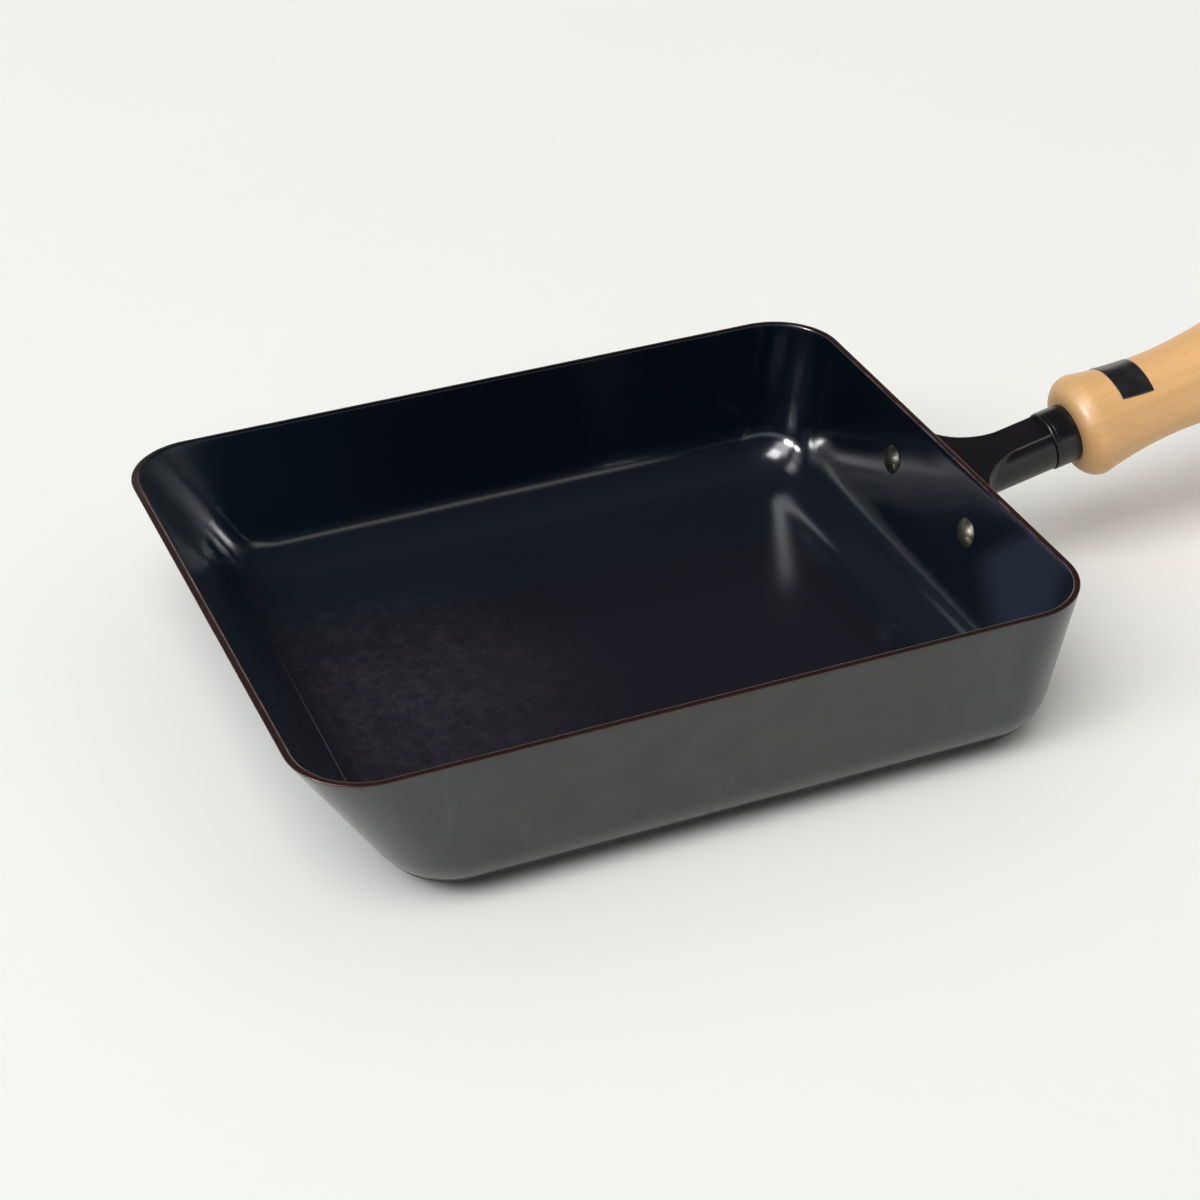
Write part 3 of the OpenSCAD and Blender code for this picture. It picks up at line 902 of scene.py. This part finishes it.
class PANLOOK_OT_rivets(Operator):
    """Build the two rivets"""

    bl_idname = "panlook.rivets"
    bl_label = "Rivets"
    bl_options = {"REGISTER", "UNDO"}

    def execute(self, context):
        scene = context.scene
        rivets, pan = scene.omelette_rivets, scene.omelette_pan
        material = rivet_steel(scene.omelette_finishes)
        head = dome(rivets.head, rivets.head_height, -pan.sheet, -1)
        tail = dome(rivets.tail, rivets.tail_height, rivets.seat, 1)[::-1]
        shank, crimp = rivets.shank / 2, 0.1 * MM
        skirt = np.array([[rivets.head / 2 - crimp, -pan.sheet],
                          [shank, -pan.sheet], [shank, rivets.seat],
                          [rivets.tail / 2 - crimp, rivets.seat]])
        profile = np.concatenate([head, skirt, tail])
        for name, side in (("rivet_far", 1), ("rivet_near", -1)):
            mesh = turned_mesh(name + "_head", profile, rivet_place(scene, side), 0.0, 72)
            mesh.set_sharp_from_angle(angle=math.radians(60))
            add_piece(mesh, material, "rivet_steel", name)
        return {"FINISHED"}


class PANLOOK_OT_ferrule(Operator):
    """Build the ferrule"""

    bl_idname = "panlook.ferrule"
    bl_label = "Ferrule"
    bl_options = {"REGISTER", "UNDO"}

    def execute(self, context):
        scene = context.scene
        b, g = scene.omelette_bracket, scene.omelette_grip
        handle = handle_axes(scene)
        play, bevel, groove_at, groove_half = 0.05 * MM, 0.35 * MM, 1.1 * MM, 0.2 * MM
        outer, inner, long = g.ferrule / 2, g.neck / 2 + play, g.ferrule_length
        a = np.linspace(0, TAU / 4, 5)
        groove = np.linspace(0, TAU / 2, 9)
        profile = np.concatenate([
            [[inner, 0]],
            np.stack([outer - bevel + bevel * np.sin(a), bevel * (1 - np.cos(a))], -1),
            np.stack([outer - g.groove * np.sin(groove),
                      groove_at - groove_half * np.cos(groove)], -1),
            np.stack([outer - bevel * (1 - np.cos(a)), long - bevel * (1 - np.sin(a))], -1),
            [[inner, long]],
        ])
        mesh = skin_mesh("ferrule_ring", turned(profile, handle.place, b.stub_length, 112))
        mesh.set_sharp_from_angle(angle=math.radians(50))
        add_piece(mesh, forged_iron("ferrule_steel", scene.omelette_finishes, 0.8),
                  "black_forged_steel", "ferrule")
        return {"FINISHED"}


def grip_radius(g, u):
    """Radius of the grip at a distance u from its nose: a parabola from the shoulder to the
    waist, then two half cosines, up to the swell and down to the tail."""
    tail_at = g.grip - g.tail_round
    flare = g.waist / 2 + (g.shoulder - g.waist) / 2 * ((g.waist_at - u) / g.waist_at) ** 2
    climb = (u - g.waist_at) / (g.swell_at - g.waist_at)
    fall = (u - g.swell_at) / (tail_at - g.swell_at)
    rise = g.waist / 2 + (g.swell - g.waist) / 4 * (1 - np.cos(np.pi * climb))
    drop = g.swell / 2 - (g.swell - g.tail) / 4 * (1 - np.cos(np.pi * fall))
    return np.where(u < g.waist_at, flare, np.where(u < g.swell_at, rise, drop))


class PANLOOK_OT_grip(Operator):
    """Build the turned beech grip with its hanging hole"""

    bl_idname = "panlook.grip"
    bl_label = "Grip"
    bl_options = {"REGISTER", "UNDO"}

    def execute(self, context):
        scene = context.scene
        b, g = scene.omelette_bracket, scene.omelette_grip
        handle = handle_axes(scene)
        nose_s = b.stub_length + g.ferrule_length
        step, end_gap, shoulder_gap = 0.8 * MM, 0.2 * MM, 0.02 * MM
        a = np.linspace(0, TAU / 4, 20)
        middle = float(grip_radius(g, np.array(g.nose))) - g.nose
        nose = np.stack([middle + g.nose * np.sin(a), g.nose * (1 - np.cos(a))], -1)[:-1]
        tail_at = g.grip - g.tail_round
        u = np.arange(g.nose, tail_at - step / 2, step)
        body = np.stack([grip_radius(g, u), u], -1)
        a = np.linspace(0, TAU / 4, 26)
        tail = np.stack([g.tail / 2 * np.cos(a), tail_at + g.tail_round * np.sin(a)], -1)
        tail[-1, 0] = 0
        neck, start = g.neck / 2, end_gap - g.ferrule_length
        shank = np.array([[0, start], [neck, start], [neck, -shoulder_gap]])
        profile = np.concatenate([shank, nose, body, tail])
        mesh = turned_mesh("grip_turning", profile, handle.place, nose_s)
        material = beech_wood(scene.omelette_finishes, b.tilt, handle.place(nose_s, 0.0, 0.0))
        piece = add_piece(mesh, material, "beech", "handle_grip")
        cut_away(piece, [self.hole(handle, g, nose_s)])
        return {"FINISHED"}

    @staticmethod
    def hole(handle, g, nose_s):
        """The hanging hole's cutter: a cylinder square to the grip, flared at both mouths."""
        at = nose_s + g.grip - g.hole_inset
        r, mouth, wider, deep, past = g.hole / 2, 11.4 * MM, 1.1 * MM, 1.6 * MM, 20 * MM
        flare = np.linspace(0, 1, 7)
        top = np.stack([r + wider * flare ** 2, mouth + deep * flare], -1)
        profile = np.concatenate([[[0, -past], [r + wider, -past]], (top * [1, -1])[::-1],
                                  top, [[r + wider, past], [0, past]]])

        def place(d, p, q):
            """Turns the profile about an axis square to the handle's."""
            return handle.place(at + p, q, d)

        return turned_mesh("hole", profile, place, 0.0, 96)


class PANLOOK_OT_label(Operator):
    """Build the bare label on the grip"""

    bl_idname = "panlook.label"
    bl_label = "Label"
    bl_options = {"REGISTER", "UNDO"}

    def execute(self, context):
        scene = context.scene
        b, g = scene.omelette_bracket, scene.omelette_grip
        handle, nose_s = handle_axes(scene), b.stub_length + g.ferrule_length
        corner = 0.3 * MM
        long, wide = g.label_length / 2 - corner, g.label_width / 2 - corner
        middles = [(np.array([[p * long]]), np.array([[r * wide]]))
                   for p, r in ((1, 1), (-1, 1), (-1, -1), (1, -1))]
        ahead, across = (row[0] for row in round_outline(middles, corner, 8, 24))
        # How much of the outline each ring spans, and how many thicknesses it lies down
        reaches = [(0.1, 0), (0.3, 0), (0.5, 0), (0.7, 0), (0.85, 0), (0.95, 0),
                   (0.985, 0.15), (1.0, 0.6), (1.0, 1.1), (0.985, 1.15), (0.6, 1.15), (0.2, 1.15)]
        rings, rims = [], []
        for scale, down in reaches:
            u = g.label_at + g.label_length / 2 + ahead * scale
            base = grip_radius(g, u)
            turn = g.label_turn + np.arcsin(np.clip(across * scale / base, -1, 1))
            r = base + g.label_thickness * (1 - down)
            rings.append(handle.place(nose_s + u, -r * np.sin(turn), r * np.cos(turn)))
            rims.append(np.full(len(u), 1.0 if scale >= 0.98 and down < 1.1 else 0.0))
        rings = np.array(rings)
        poles = [rings[0].mean(0), rings[-1].mean(0)]
        mesh = skin_mesh("label_film", rings, poles, {"rim": np.array(rims)})
        add_piece(mesh, black_label(scene.omelette_finishes), "black_label", "grip_label")
        return {"FINISHED"}


class PANLOOK_OT_stud(Operator):
    """Finish the stud inside the handle"""

    bl_idname = "panlook.stud"
    bl_label = "Stud"
    bl_options = {"REGISTER", "UNDO"}

    def execute(self, context):
        scene = context.scene
        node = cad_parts["tang_stud"]
        node.data.materials.clear()
        node.data.materials.append(
            bright_steel(scene.omelette_finishes, scene.omelette_bracket.tilt))
        return {"FINISHED"}


class PANLOOK_OT_stage(Operator):
    """Set the table, the lamps, the surroundings and the camera"""

    bl_idname = "panlook.stage"
    bl_label = "Stage"
    bl_options = {"REGISTER", "UNDO"}

    def execute(self, context):
        scene = context.scene
        self.camera(scene)
        self.table(scene)
        self.lamps()
        self.surroundings(scene)
        scene.view_settings.view_transform = "Standard"
        return {"FINISHED"}

    @staticmethod
    def camera(scene):
        """The camera that was fitted to the photograph: its place, and its right and up."""
        lens = bpy.data.cameras.new("camera")
        lens.sensor_width, lens.lens, lens.sensor_fit = 36.0, 84.63, "HORIZONTAL"
        lens.clip_start, lens.clip_end = 0.01, 50.0
        place = Vector((-0.21747, -0.52201, 0.39263))
        right, up = Vector((0.9205, -0.3908, -0.0049)), Vector((0.2186, 0.5044, 0.8354))
        back = right.cross(up).normalized()
        turn = Matrix((right.normalized(), back.cross(right).normalized(), back))
        scene.camera = new_object("camera", lens)
        scene.camera.matrix_world = Matrix.Translation(place) @ turn.transposed().to_4x4()

    @staticmethod
    def table(scene):
        """A wide flat sheet of squares at the table's height."""
        half, squares = 6.0, 24
        line = np.linspace(-half, half, squares + 1)
        x, y = np.meshgrid(line, line, indexing="ij")
        points = np.stack([x, y, 0 * x], -1).reshape(-1, 3)
        i, j = np.meshgrid(np.arange(squares), np.arange(squares), indexing="ij")
        first = (i * (squares + 1) + j).reshape(-1)
        ahead = first + squares + 1
        mesh = bpy.data.meshes.new("table_top")
        mesh.from_pydata(points.tolist(), [],
                         np.stack([first, ahead, ahead + 1, first + 1], -1).tolist())
        mesh.materials.append(pale_table(scene.omelette_finishes))
        top = new_object("table_top", mesh)
        top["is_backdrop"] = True

    @staticmethod
    def lamps():
        """A soft sun from the left, which only lights, and flat panels turned to the pan: name,
        place, width, height, watts and whether it lights matt surfaces too."""
        def aim(lamp, way):
            lamp.rotation_euler = Vector(way).to_track_quat("-Z", "Y").to_euler()

        sun = bpy.data.lights.new("soft_daylight", "SUN")
        sun.energy, sun.angle, sun.color = 1.84, math.radians(42), (1.0, 0.995, 0.975)
        high = new_object("soft_daylight", sun)
        aim(high, (0.42, 0.4, -1.0))
        high.visible_glossy = False
        panels = [
            ("left_window", (-1.95, -0.45, 1.62), 1.0, 1.0, 14.0, True),
            ("left_glint", (-1.8, -0.45, 1.67), 1.35, 1.2, 10.0, False),
            ("high_glint", (-1.288, -0.443, 2.097), 0.72, 0.72, 24.0, False),
            ("far_glint", (-2.24, -0.06, 0.86), 0.11, 0.2, 38.0, False),
            ("near_glint", (-2.2, -0.39, 0.88), 0.11, 0.2, 38.0, False),
        ]
        for name, place, wide, tall, watts, matt in panels:
            lamp = bpy.data.lights.new(name, "AREA")
            lamp.shape, lamp.size, lamp.size_y = "RECTANGLE", wide, tall
            lamp.energy = watts
            panel = new_object(name, lamp)
            panel.location = place
            aim(panel, -Vector(place))
            panel.visible_diffuse = matt

    @staticmethod
    def surroundings(scene):
        """A room that mirrors as a pale band at table height under a dark ceiling, lights evenly,
        and shows to the camera as the pale backdrop."""
        scene.world = bpy.data.worlds.new("room")
        w = Nodes(scene.world)

        def lit(paint, strength):
            return w.add("Background", {}, {"Color": paint, "Strength": strength})

        def either(factor, a, b):
            return w.add("MixShader", {}, {0: factor, 1: a, 2: b})

        def seen_by(ray):
            return w.add("LightPath", {}, {}, ray)

        way = w.add("TexCoord", {}, {}, "Generated")
        x, z = w.axis(way, 0), w.axis(way, 2)
        wall = either(x.over(-0.3, 0.1), lit((0.68, 0.82, 1.0), 1.4),
                      lit((1.0, 0.95, 0.88), 1.4))
        wall = either(x.over(0.62, 0.78), wall, lit((0.9, 0.95, 1.0), 0.12))
        mirrored = either(z.over(0.26, 0.34), wall, lit((0.04, 0.034, 0.046), 1.0))
        even = lit((1.0, 1.0, 0.985), z.over(0.1, 0.7, 0.12, 0.5))
        backdrop = lit((0.84, 0.845, 0.825), 1.0)
        room = either(seen_by("Is Glossy Ray"), even, mirrored)
        w.add("OutputWorld", {},
              {"Surface": either(seen_by("Is Camera Ray"), room, backdrop)})


class PANLOOK_PT_panel(Panel):
    """Lists the sizes, the finishes and the building steps"""

    bl_idname = "PANLOOK_PT_panel"
    bl_label = "Omelette pan"
    bl_space_type = "VIEW_3D"
    bl_region_type = "UI"
    bl_category = "Omelette Pan"

    def draw(self, context):
        for step in STEPS:
            self.layout.operator(step.bl_idname)
        for group, kind in GROUPS.items():
            column = self.layout.column(align=True)
            for name in kind.__annotations__:
                column.prop(getattr(context.scene, group), name)


STEPS = [PANLOOK_OT_stage, PANLOOK_OT_body, PANLOOK_OT_bracket, PANLOOK_OT_rivets,
         PANLOOK_OT_ferrule, PANLOOK_OT_grip, PANLOOK_OT_label, PANLOOK_OT_stud]


def register():
    for kind in [*GROUPS.values(), *STEPS, PANLOOK_PT_panel]:
        bpy.utils.register_class(kind)
    for name, kind in GROUPS.items():
        setattr(bpy.types.Scene, name, PointerProperty(type=kind))


def unregister():
    for name in GROUPS:
        delattr(bpy.types.Scene, name)
    for kind in [PANLOOK_PT_panel, *reversed(STEPS), *reversed(GROUPS.values())]:
        bpy.utils.unregister_class(kind)


def main():
    """Registers the add-on, runs its steps in order and works out the CAD and visual boxes."""
    register()
    for step in STEPS:
        group, name = step.bl_idname.split(".")
        getattr(getattr(bpy.ops, group), name)()
    boxes = {"cad": CAD_BOX, "visual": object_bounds()}
    {key: [list(corner) for corner in box] for key, box in boxes.items()}


if __name__ == "__main__":
    main()
